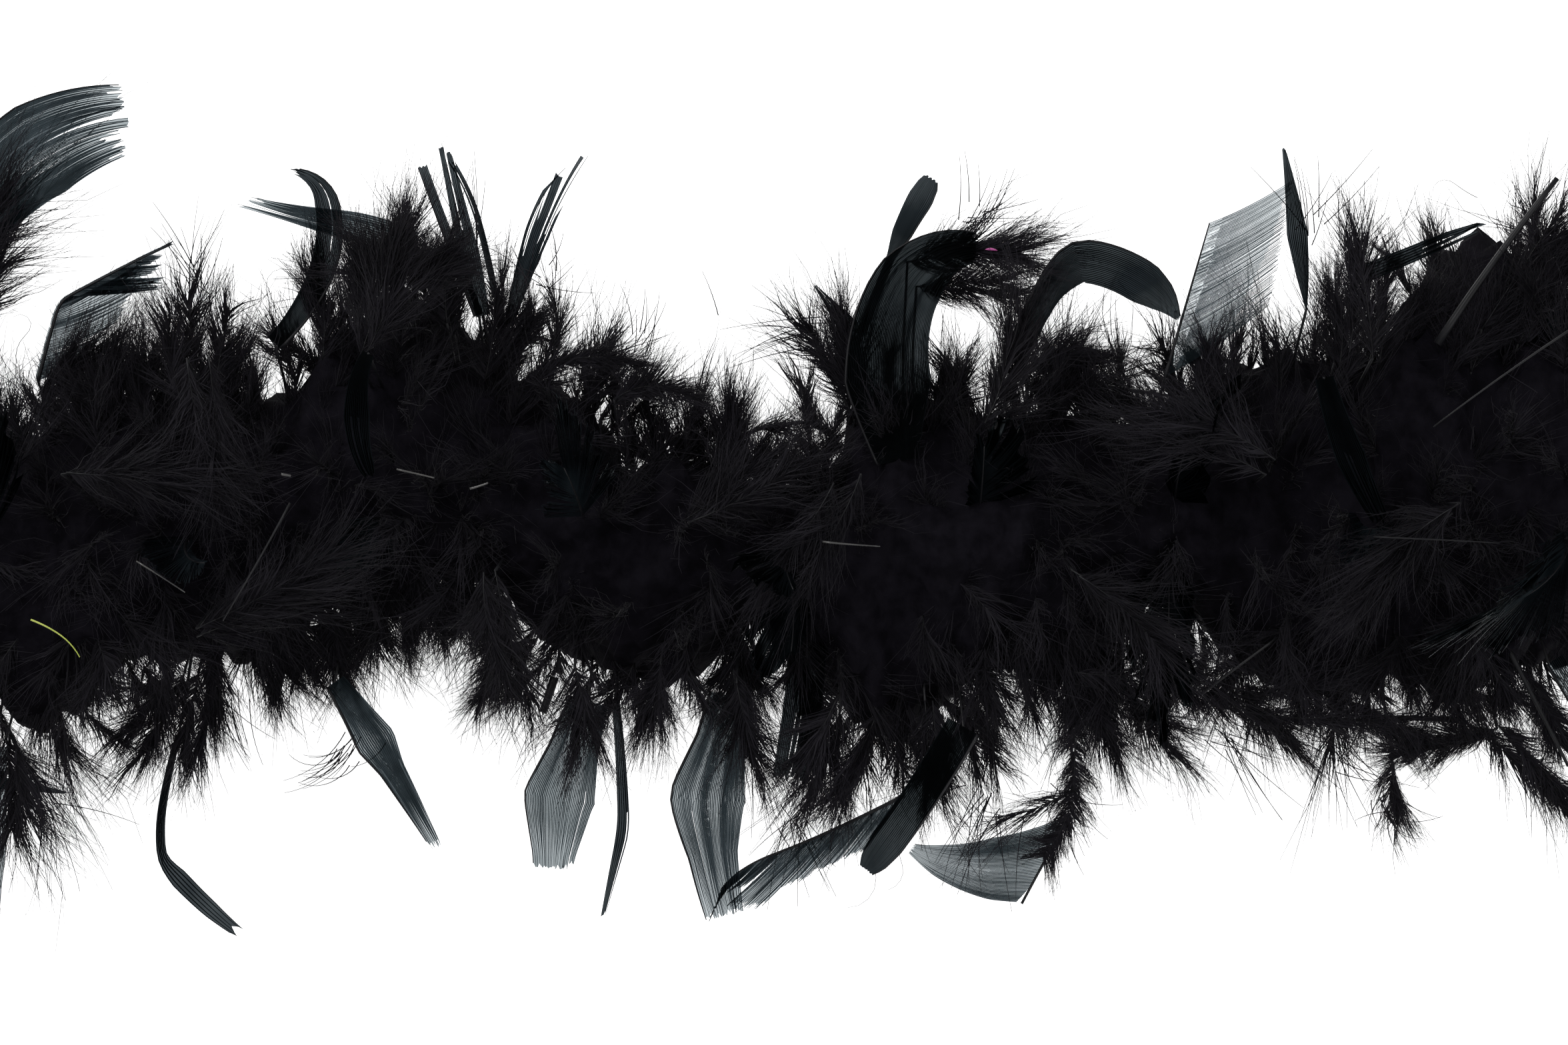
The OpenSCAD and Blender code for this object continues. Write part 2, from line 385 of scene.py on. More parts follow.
# ---- Feathers ----
class Spine:
    """A feather's shaft: where it starts, how it heads and rises, and how it is rolled."""

    def __init__(self, start, heading, rise, roll, length, steps=18):
        self.length = length
        self.t = np.linspace(0, 1, steps)
        heading, rise, roll = [self.angles(a) for a in (heading, rise, roll)]
        ahead = np.stack([np.cos(heading) * np.cos(rise), np.sin(heading) * np.cos(rise),
                          np.sin(rise)], -1)
        level = left_of(heading)
        self.ahead = ahead
        self.side = level * np.cos(roll)[:, None] + np.cross(ahead, level) * np.sin(roll)[:, None]
        self.normal = np.cross(ahead, self.side)
        steps_along = (ahead[1:] + ahead[:-1]) / 2 * length / (steps - 1)
        self.line = np.asarray(start, float) + np.vstack([[0, 0, 0], np.cumsum(steps_along, 0)])

    def angles(self, spec):
        """Radians along the shaft from one angle in degrees, from the angles at its two
        ends, or from a list of (share of the length, degrees)."""
        if np.ndim(spec) == 0:
            return np.full(len(self.t), math.radians(spec))
        at, degrees = zip(*spec) if np.ndim(spec) == 2 else ((0, 1), spec)
        return np.radians(np.interp(self.t, at, degrees))

    def at(self, u):
        """Points of the shaft, its direction, side and normal at shares u of its length."""
        out = []
        for field in (self.line, self.ahead, self.side, self.normal):
            out.append(np.stack([np.interp(u, self.t, field[:, i]) for i in range(3)], -1))
        return out


def leaf(u):
    """Relative width of a feather along its shaft, 0 at both ends and 1 at the widest."""
    return np.sin(math.pi * np.clip(u, 0, 1) ** 0.75).clip(0) ** 0.6


def cut_tip(u):
    """A feather that keeps its width to a short blunt end."""
    return np.minimum(1, np.minimum(u / 0.12, (1 - u) / 0.10)).clip(0) ** 0.6


def pane(u):
    """A feather cut off square, a little narrower at its far end."""
    return 1 - 0.24 * u


SHAPES = {"leaf": leaf, "cut": cut_tip, "pane": pane}


def lay_vane(bundle, rng, spine, width, angle, shape, fray, start_u, pitch, thickness,
             splits=3, lobes=(), web_reach=((0, 0.96), (1, 0.96))):
    """A flat feather's two rows of close barbs, the web between them and its shaft."""
    points = 7
    count = max(int(spine.length * (1 - start_u) / pitch), 6)
    u = np.linspace(start_u, 0.995, count)
    base, ahead, side, normal = spine.at(u)
    v = np.linspace(0, 1, points)
    for hand, reach in ((1, width[0]), (-1, width[1])):
        if reach <= 0:
            continue
        share = (u - start_u) / (1 - start_u)
        if lobes:
            group = np.minimum(share * len(lobes), len(lobes) - 1).astype(int)
            worn = np.array(lobes)[group]
        else:
            group = np.searchsorted(np.sort(rng.uniform(0.1, 1, splits)), share)
            worn = 1 - 0.1 * rng.random(splits + 1)[group]
        groups = group[-1] + 1
        lean = rng.normal(0, 8 * fray, groups)[group]
        open_at = np.interp(u, *zip(*angle)) if np.ndim(angle) else angle - 12 * u
        slant = np.radians(open_at + lean + rng.normal(0, 2 * fray, count))
        length = (reach / math.sin(slant.mean()) * SHAPES[shape](u)
                  * worn * rng.uniform(1 - 0.06 - 0.3 * fray, 1, count)).clip(0.8)
        out = ahead * np.cos(slant)[:, None] + hand * side * np.sin(slant)[:, None]
        bend = ahead * 0.16 + normal * rng.normal(0, 0.1 * fray, (groups, 1))[group]
        loose = rng.normal(0, 0.08 * fray, (count, 3))
        line = base[:, None] + length[:, None, None] * (
            out[:, None] * v[None, :, None] + bend[:, None] * v[None, :, None] ** 2
            + loose[:, None] * v[None, :, None] ** 3)
        across = unit(np.cross(normal, out))[:, None]
        half = thickness * (1 - 0.55 * v)[None] * streaks(rng, count, fray)
        bundle.strips(line, half, across, BARB)
        lay_web(bundle, line, group, np.interp(share, *zip(*web_reach)))
        wisps = rng.random(count) < 0.25 * fray
        if wisps.any():
            tip, tip_out = line[wisps, -1], unit(line[wisps, -1] - line[wisps, -2])
            stray = unit(tip_out + rng.normal(0, 0.3, tip.shape))
            bundle.slivers(tip, tip + stray * rng.uniform(1.5, 5, (len(tip), 1)),
                           across[wisps, 0], 0.05, BARB)
    radius = np.linspace(0.42, 0.14, len(spine.line)) * min(1.3, 0.6 + spine.length / 90)
    bundle.tube(spine.line, radius, 5, STEM)


def streaks(rng, count, fray):
    """Thickness of neighbouring barbs, which makes darker and lighter streaks in a vane."""
    depth = min(0.3, 3 * fray)
    at = np.linspace(0, 1, max(count // 4, 3))
    slow = np.interp(np.linspace(0, 1, count), at, rng.uniform(1 - depth, 1 + depth, len(at)))
    return (slow * rng.uniform(0.85, 1.15, count))[:, None]


def lay_web(bundle, line, group, reach):
    """The thin web of barbules between neighbouring barbs, open at each split."""
    picked = np.arange(0, len(line), 2)
    ribs, marks = line[picked], group[picked]
    n = ribs.shape[1]
    ribs = ribs[:, :1] + (ribs - ribs[:, :1]) * reach[picked, None, None]
    together = np.flatnonzero(marks[1:] == marks[:-1])
    bundle.add(ribs, grid_quads(together, n, n - 1), WEB)


def lay_strip(bundle, rng, spine, width, profile, fray, splits, edge, pitch, thickness, skew):
    """A flat feather cut so that its barbs run along it side by side, with their web."""
    cup = 0.06
    count = max(6, int((width[0] + width[1]) / pitch))
    seat = np.linspace(-width[1], width[0], count)
    group = np.searchsorted(np.sort(rng.uniform(0.08, 0.92, splits)), np.linspace(0, 1, count))
    end = (1 - fray * (0.35 * rng.random(splits + 1)[group] + 0.3 * rng.random(count) ** 2))
    begin = skew * (seat + width[1]) / spine.length
    t = begin[:, None] + (end - begin)[:, None] * np.linspace(0, 1, len(spine.t))[None]
    base, _, side, normal = spine.at(t)
    share = np.interp(t, *zip(*profile))
    loose = np.clip((t - 0.55) / 0.45, 0, None) ** 2 * fray
    part = rng.normal(0, 2.2, splits + 1)[group][:, None] + rng.normal(0, 0.8, (count, 1))
    offset = seat[:, None] * share + part * loose
    hollow = cup * (seat[:, None] * share) ** 2 / max(sum(width) / 2, 1)
    hollow = hollow + rng.normal(0, 3, (count, 1)) * loose
    line = base + side * offset[..., None] + normal * hollow[..., None]
    v = np.linspace(0, 1, len(spine.t))[None]
    half = thickness * np.minimum(share * 1.3, 1) * (1 - 0.6 * v**4) * streaks(rng, count, fray)
    bundle.strips(line, half, side, BARB)
    n = line.shape[1]
    for pairs, until in ((group[1:] == group[:-1], n - 1), (group[1:] != group[:-1], n // 2)):
        bundle.add(line, grid_quads(np.flatnonzero(pairs), n, until), WEB)
    if edge:
        radius = np.linspace(0.38, 0.12, n)
        bundle.tube(line[-1 if edge > 0 else 0], radius, 5, STEM)


def lay_plume(bundle, fuzz, rng, spine, reach, barbs, barbules, half, points, matted=0.5,
              sides=(1, 1), slant=(38, 5)):
    """A downy feather: soft barbs in locks on both sides, some short and matted, the
    others long and fine, with a haze of barbules."""
    base_u, last_u, tip_share = 0.02, 0.78, 0.85
    spread, flow, wave, gather = 0.2, 0.2, 0.13, 0.2
    lock_l, tip_half, mat_half, mat_reach = 2.6, 0.028, 0.21, 0.54
    u = base_u + (last_u - base_u) * rng.random(barbs)
    hand = np.where(rng.random(barbs) < sides[0] / (sides[0] + sides[1]), 1.0, -1.0)
    locks = max(3, int(spine.length * (last_u - base_u) / lock_l))
    lock = ((u - base_u) / (last_u - base_u) * locks + rng.normal(0, 0.3, barbs)).astype(int)
    lock = np.clip(lock, 0, locks - 1) + locks * (hand > 0)
    base, ahead, side, normal = spine.at(u)
    lean = (np.radians(slant[0] + (slant[1] - slant[0]) * u) + shared(rng, lock, 0.13)[:, 0]
            + rng.normal(0, 0.06, barbs))
    length = (reach * (1 - (1 - tip_share) * u**2) * (0.55 + 0.45 * np.minimum(1, u / 0.3))
              * (1 + shared(rng, lock, 0.12)[:, 0]) * rng.uniform(0.62, 1.2, barbs))
    mat = rng.random(barbs) < matted
    length *= np.where(mat, mat_reach * rng.uniform(0.7, 1.3, barbs), 1)
    lift = shared(rng, lock, spread) + rng.normal(0, spread * 0.35, (barbs, 1))
    out = unit(ahead * np.cos(lean)[:, None] + (hand * np.sin(lean))[:, None] * side
               + normal * lift)
    v = np.linspace(0, 1, points)[None, :, None]
    bend = (ahead * flow * rng.uniform(0.4, 1, (barbs, 1)) + shared(rng, lock, 0.17, 3)
            + rng.normal(0, 0.15, (barbs, 3)))
    sway = unit(np.cross(out, shared(rng, lock, 1, 3) + rng.normal(0, 0.4, (barbs, 3))))
    phase = (shared(rng, lock, 2) + rng.normal(0, 0.3, (barbs, 1)))[..., None]
    waves = np.sin(rng.uniform(4, 7, (barbs, 1, 1)) * v + phase) - np.sin(phase)
    line = base[:, None] + length[:, None, None] * (
        out[:, None] * v + bend[:, None] * v**2 + wave * sway[:, None] * waves * v)
    line += gather * (lock_means(line[:, -1], lock) - line[:, -1])[:, None] * v**2
    across = unit(np.cross(out, rng.normal(size=(barbs, 3))))[:, None]
    thick = np.where(mat, mat_half, half)[:, None] * rng.uniform(0.6, 1.2, (barbs, 1))
    widths = tip_half + thick * (1 - v[..., 0]) ** 0.8
    bundle.strips(line, widths, across, 0)
    lay_barbules(fuzz, rng, line[~mat], barbules)
    shaft = spine.at(np.linspace(0, last_u, 8))[0]
    bundle.tube(shaft, np.linspace(0.22, 0.06, 8), 4, 1)


def shared(rng, lock, scale, width=1):
    """Random values that all the barbs of one lock have in common."""
    return rng.normal(0, scale, (lock.max() + 1, width))[lock]


def lock_means(tips, lock):
    """For each barb, the middle of its lock's tips."""
    total = np.zeros((lock.max() + 1, 3))
    np.add.at(total, lock, tips)
    return (total / np.maximum(np.bincount(lock), 1)[:, None])[lock]


def lay_barbules(fuzz, rng, line, number, longest=1.7):
    """Fine slivers all along the barbs, each leaning forward from its barb."""
    half = 0.036
    count, points = line.shape[:2]
    where = rng.uniform(0.08, 1, (count, number))
    seat = where * (points - 1)
    low = np.minimum(seat.astype(int), points - 2)
    part = (seat - low)[..., None]
    row = np.arange(count)[:, None]
    foot = line[row, low] * (1 - part) + line[row, low + 1] * part
    along = unit(line[row, low + 1] - line[row, low])
    away = unit(along * 0.85 + unit(rng.normal(0, 1, foot.shape)) * 0.75)
    size = longest * rng.uniform(0.35, 1, (count, number, 1)) * (1.1 - 0.55 * where[..., None])
    foot, away, along = [a.reshape(-1, 3) for a in (foot, away, along)]
    fuzz.slivers(foot, foot + away * size.reshape(-1, 1), along, half, 0)


def fullness(s, hand):
    """How far the down reaches at s on one side of the cord, hand 1 for left."""
    x, left, right = np.array(FULLNESS, float).T
    at = middle_s(x)
    rest = 44 + 5 * np.sin(s / 31) + 4 * np.sin(s / 13 + hand)
    shown = np.interp(s, at, left if hand > 0 else right)
    edge = np.clip(np.minimum(s - at[0], at[-1] - s) / 20, 0, 1)
    return rest * (1 - edge) + shown * edge


def is_close(s):
    """Whether the stretch of boa at s is in the part that the camera sees close up."""
    at, _ = cord_at(s)
    return abs(at[0]) < CLOSE_X and abs(s - CORD_L / 2) < 0.2 * CORD_L


def make_section(number):
    """One section's matted inner down, plumes, fuzz, quills and flat feathers."""
    rng = np.random.default_rng(1000 + number)
    s0 = fan_at((number - 1) * FANS_IN_SECTION)
    s1 = fan_at(number * FANS_IN_SECTION)
    make_dense(number, s0, s1)
    halves = {1: (Bundle(), Bundle()), -1: (Bundle(), Bundle())}
    for i in range(PLUMES):
        s = s0 + (s1 - s0) * (i + rng.random()) / PLUMES
        fine = is_close(s)
        hand = 1 if rng.random() < 0.5 else -1
        if fine or rng.random() < FAR_SHARE:
            lay_body_plume(*halves[hand], rng, s, hand, fine)
    for hand, side in ((1, "left"), (-1, "right")):
        label = f"{number:02d}_{side}"
        plumes, fuzz = halves[hand]
        plumes.build(f"down_barbs_{label}", [DOWN, SHAFT], "down", [f"down_{number:02d}"])
        fuzz.build(f"down_fuzz_{label}", [DOWN], "down")
    make_flats(number, rng)


def lay_body_plume(plumes, fuzz, rng, s, hand, fine):
    """One of the plumes that make the body: rooted in the inner down, tip at its edge."""
    at, heading = cord_at(s)
    rise = rng.choice([-48, -32, -18, -6, 3, 12, 22, 36, 54, 76]) + rng.normal(0, 5)
    level = math.cos(math.radians(rise))
    reach = fullness(s, hand) * level + DOWN_TOP * (1 - level)
    to_end = np.clip([1 - (s - fan_at(0)) / END_TAPER,
                      1 - (CORD_L - TAIL_L - s) / END_TAPER], 0, 1)
    lean = 60 * (to_end[1] - to_end[0])
    reach *= 1 - 0.3 * to_end.max()
    away = math.degrees(heading) + hand * (90 - lean - rng.normal(0, 32))
    root = reach * rng.uniform(0.35, 0.72)
    length = (reach - root) * rng.uniform(0.62, 1.05)
    lead = np.array([math.cos(math.radians(away)) * level, math.sin(math.radians(away)) * level,
                     math.sin(math.radians(rise))])
    start = at + lead * root + rng.normal(0, 2, 3)
    swing, lift = rng.normal(0, 35), rng.normal(-8, 25) - max(rise, 0) * 0.5
    spine = Spine(start, (away, away + swing), (rise, rise + lift), rng.uniform(-90, 90),
                  length, 10)
    edge = -25 < rise < 40
    if fine:
        barbs, barbules = (130, 12) if edge else (90, 4)
        half, points = 0.08, 5
    else:
        barbs, barbules = 58, 4 if edge else 2
        half, points = 0.16, 4
    lay_plume(plumes, fuzz, rng, spine, rng.uniform(12, 18), barbs, barbules, half, points)


def make_dense(number, s0, s1):
    """The matted inner down round the cord: a lumpy closed sleeve."""
    rings, sides, below_edge, low, high, overlap = 60, 56, 16.0, 24.0, 23.0, 3
    s = np.linspace(s0 - overlap, s1 + overlap, rings)
    at, heading = cord_at(s)
    turn = 2 * math.pi * np.arange(sides) / sides
    grid_s, grid_t = np.meshgrid(s, turn, indexing="ij")
    lumps = (np.sin(grid_s / 6.1 + 2 * grid_t) * 0.08 + np.sin(grid_s / 3.7 - 3 * grid_t) * 0.06
             + np.sin(grid_s / 2.3 + 5 * grid_t + 1) * 0.05
             + np.sin(grid_s / 1.7 + 9 * grid_t) * 0.04
             + np.random.default_rng(number).normal(0, 0.035, grid_s.shape))
    near = END_TAPER if number == 1 else overlap
    far = END_TAPER if number == SECTIONS else overlap
    ends = np.minimum(1, np.minimum((s - s[0]) / near, (s[-1] - s) / far))[:, None]
    ends = 0.2 + 0.8 * np.sqrt(ends)
    wide = np.where(np.cos(turn)[None] > 0, fullness(s, 1)[:, None], fullness(s, -1)[:, None])
    tall = np.where(np.sin(turn) > 0, high, low)[None]
    out = (np.cos(turn)[None] * np.maximum(wide - below_edge, 12), np.sin(turn)[None] * tall)
    points = (at[:, None] + ((1 + lumps) * ends * out[0])[..., None] * left_of(heading)[:, None]
              + ((1 + lumps) * ends * out[1])[..., None] * UP)
    dense = Bundle()
    dense.add(points, tube_quads(rings, sides))
    dense.build(f"dense_down_{number:02d}", [DENSE], "down", smooth=True)


def make_flats(number, rng):
    """The bound quills of one section and the flat feathers on them."""
    label = f"{number:02d}"
    first = (number - 1) * FANS_IN_SECTION
    last = first + FANS_IN_SECTION + (number == SECTIONS)
    flats, quills = Bundle(), Bundle()
    for k in range(first, last):
        at, heading = cord_at(fan_at(k))
        fine = is_close(fan_at(k))
        for j in range(BLADES):
            rise = 90 + (j - (BLADES - 1) / 2) * 40 + rng.normal(0, 9)
            hand, up = (1, rise) if rise < 90 else (-1, 180 - rise)
            if fine and up < 65:
                continue
            away = math.degrees(heading) + hand * 90 + rng.normal(0, 16)
            length = rng.uniform(0.66, 0.98) * REACH
            if fine:
                length *= 0.62
            elif up > 60:
                length *= 0.8
            turn = rng.normal(0, 45)
            spine = Spine(at, [(0, away), (0.4, away), (1, away + turn)],
                          [(0, up), (0.35, up), (1, up - 45 * (up > 30) + rng.normal(0, 18))],
                          rng.uniform(-70, 70, 2), length)
            lay_vane(flats, rng, spine, (rng.uniform(1, 8), rng.uniform(3, 12)),
                     angle=rng.uniform(28, 45), shape="cut" if rng.random() < 0.5 else "leaf",
                     fray=rng.uniform(0.1, 0.6), start_u=rng.uniform(0.35, 0.5),
                     pitch=0.42 if fine else 0.8, thickness=0.16 if fine else 0.28)
            quills.tube(spine.line[:7], np.linspace(0.75, 0.5, 7), 7)
    flats.build(f"flats_{label}", VANE_LOOK["thin" if number % 2 else "thick"], "vane",
                [f"vanes_{label}"])
    quills.build(f"quill_shafts_{label}", [QUILL], "quill", [f"quills_{label}"])


# ---- The feathers that stand out along the middle row ----
# Places are in mm from the middle of the boa. Headings are degrees from +X: one, the
# two at its ends, or a list of (share of the length, degrees)
EVEN = [(0, 1), (1, 1)]
# Each is its name, start, heading, length, width left and right of its line, relative
# width along it, fray and what else differs
STRIPS = [
    ("left_edge_broad", (-184.5, 56.5, 44), [(0, 50), (0.5, 38), (1, 4)], 58, (10, 11),
     [(0, 0.8), (0.6, 1), (1, 0.7)], 0.3, dict(splits=4, edge=1, pitch=0.3, thickness=0.18)),
    ("left_curled", (-108, 38, 52), [(0, 46), (0.3, 60), (0.55, 82), (0.75, 104), (0.9, 150),
     (1, 172)], 45, (3, 2.6), [(0, 0.6), (0.5, 1), (0.75, 0.9), (1, 0.2)], 0.15,
     dict(splits=1, edge=-1, web="thick")),
    ("left_level", (-79, 58, 56), [(0, 150), (0.4, 170), (1, 162)], 40, (3, 2.4),
     [(0, 1.5), (0.4, 1), (1, 0.15)], 0.3, dict(splits=2, thickness=0.18)),
    ("blade_a", (-64.7, 44, 52), 111, 34, (0.9, 0.9), EVEN, 0.06,
     dict(edge=1, web="thick", splits=0)),
    ("blade_b", (-64, 44, 48), 103, 38, (2, 2), [(0, 0.7), (0.35, 1.1), (1, 0.5)], 0.2,
     dict(splits=1, web="thick")),
    ("blade_curved", (-61.5, 48, 46), [(0, 100), (0.5, 105), (1, 124)], 32, (0.6, 0.6),
     EVEN, 0.2, dict(web="thick")),
    ("blade_split", (-58.5, 42, 50), [(0, 76), (0.5, 70), (1, 49)], 41, (2.4, 2.8),
     [(0, 0.35), (0.5, 1), (1, 1.1)], 0.9, dict(splits=6, web="thick")),
    ("paddle", (16, 40, 52), [(0, 69), (0.5, 68), (1, 56)], 37, (2.2, 3.2), [(0, 0.3), (0.48, 0.3),
     (0.62, 0.75), (0.85, 1), (0.96, 0.8), (1, 0.4)], 0.05, dict(splits=0, web="thick", edge=-1)),
    ("glossy_arch", (24.5, 13, 56), [(0, 98), (0.35, 92), (0.6, 70), (0.8, 36), (1, -8)], 56,
     (10, 8), [(0, 0.5), (0.3, 1), (0.7, 0.8), (1, 0.3)], 0.1,
     dict(splits=0, edge=1, web="thick", rise=6)),
    ("loop", (49.6, 36, 58), [(0, 68), (0.1, 68), (0.28, 58), (0.44, 38), (0.52, -9), (0.7, -27),
     (0.85, -40), (0.95, -57), (1, -60)], 49, (4.4, 4.6), [(0, 0.5), (0.3, 0.65), (0.48, 1),
     (0.78, 1), (0.88, 0.7), (1, 0.08)], 0.04, dict(splits=0, edge=1, web="thick")),
    ("dark_spear", (110, 45, 60), (96, 100), 35, (2.2, 2), [(0, 0.1), (0.2, 0.6),
     (0.45, 1), (0.7, 0.6), (0.85, 0.35), (1, 0.08)], 0.12, dict(splits=0, web="thick")),
    ("long_slender", (119.5, 51, 74), (22, 24), 29, (1.6, 1.2),
     [(0, 1.3), (0.7, 1), (1, 0.5)], 0.2, dict(web="thick")),
    ("side_point", (14, 41, 54), 129, 12, (2, 2), [(0, 1), (1, 0.1)], 0.1, dict(web="thick")),
    ("far_left_drop", (-169.5, -48, 40), -91, 45, (3.2, 3),
     [(0, 1), (0.5, 1), (0.85, 0.5), (1, 0.1)], 0.2, {}),
    ("left_triangle", (-182, -53.5, 42), (-4, -13), 30, (1.8, 1.8),
     [(0, 1.2), (0.6, 1), (1, 0.15)], 0.1, dict(web="thick")),
    ("stem_kinked", (-129.5, -45.5, 42),
     [(0, -106), (0.3, -99), (0.48, -84), (0.56, -48), (1, -33)], 52, (1, 1),
     [(0, 0.6), (0.5, 0.9), (0.62, 1.9), (0.8, 1.8), (1, 1.1)], 0.15, dict(splits=0, web="thick")),
    ("lower_kinked", (-95.5, -34, 50), (-56, -61), 42.5, (4, 3), [(0, 0.6), (0.2, 0.9),
     (0.36, 1.2), (0.52, 0.75), (0.8, 0.5), (1, 0.35)], 0.15,
     dict(splits=2, edge=-1, thickness=0.18)),
    ("pane_left", (-41.5, -38, 48), [(0, -107), (0.55, -107), (0.62, -95), (1, -95)], 37,
     (7.5, 7.5), [(0, 0.55), (0.3, 0.7), (0.58, 1), (0.9, 0.62), (1, 0.55)], 0.12,
     dict(splits=1, edge=-1)),
    ("narrow_drop", (-36, -38, 44), [(0, -84), (0.5, -88), (0.65, -104), (1, -103)], 48, (1.1, 1.1),
     [(0, 0.7), (0.6, 1.1), (1, 0.3)], 0.1, dict(splits=1, web="thick")),
    ("pane_middle", (-11, -37, 50), [(0, -104), (0.42, -104), (0.5, -86), (0.75, -80), (1, -76)],
     48, (8, 8), [(0, 0.6), (0.2, 0.65), (0.46, 1), (0.72, 0.65), (1, 0.56)], 0.1,
     dict(splits=2, edge=-1, thickness=0.15)),
    ("rounded_dark", (37.8, -43, 58), [(0, -120), (0.5, -124), (1, -129)], 37, (3.6, 3.6),
     [(0, 1), (0.8, 1), (0.93, 0.8), (1, 0.4)], 0.03, dict(splits=0, edge=1, web="thick")),
    ("crescent", (62.3, -72.3, 42), [(0, 196), (0.5, 178), (1, 150)], 37, (8, 9.5),
     [(0, 1), (0.5, 0.75), (0.8, 0.4), (1, 0.1)], 0.08,
     dict(splits=0, skew=0.75, foot=(62.3, -60, 43))),
    ("hidden_dark", (5, -26, 48), (-92, -104), 30, (4, 4), EVEN, 0.2,
     dict(splits=2, web="thick")),
    ("right_drop", (163, -30, 46), (-58, -64), 26, (3.5, 0.5), EVEN, 0.15,
     dict(edge=-1)),
    ("top_grey", (-86, 35, 80), [(0, -118), (0.3, -95), (0.6, -84), (1, -63)], 27, (2.6, 2.6),
     [(0, 0.5), (0.5, 1), (0.9, 0.7), (1, 0.4)], 0.1, dict(web="thick")),
    ("top_right", (112, 30, 78), (-76, -60), 34, (3, 3), [(0, 0.6), (0.5, 1), (1, 0.5)],
     0.3, dict(web="thick")),
]
VANES = [
    dict(name="left_kinked", at=(-158.5, 30, 50), head=[(0, 76), (0.36, 73), (0.44, 29), (1, 25)],
         length=44, width=(0.5, 12), angle=[(0, 62), (0.3, 56), (0.42, 32), (1, 24)], fray=0.2,
         shape="leaf", splits=3, lobes=(1, 1, 1, 0.9, 0.75, 0.55, 0.35, 0.1), thickness=0.15),
    dict(name="clear_pane", at=(80.3, 30.5, 58), head=[(0, 74), (1, 74)], length=34,
         width=(0, 20), angle=[(0, 46), (1, 54)], fray=0.03, shape="pane", splits=0, web="clear",
         thickness=0.125, web_reach=[(0, 0.6), (0.5, 0.85), (1, 0.98)]),
    dict(name="torn", at=(25.5, -58.3, 46), head=[(0, -153), (0.4, -156), (0.7, -160), (0.85, -148),
         (1, -128)], length=44, width=(9.5, 0), angle=32, fray=0.08, shape="pane",
         lobes=(0.6, 0.65, 0.75, 1, 0.9, 0.55, 0.32, 0.42), thickness=0.13),
]
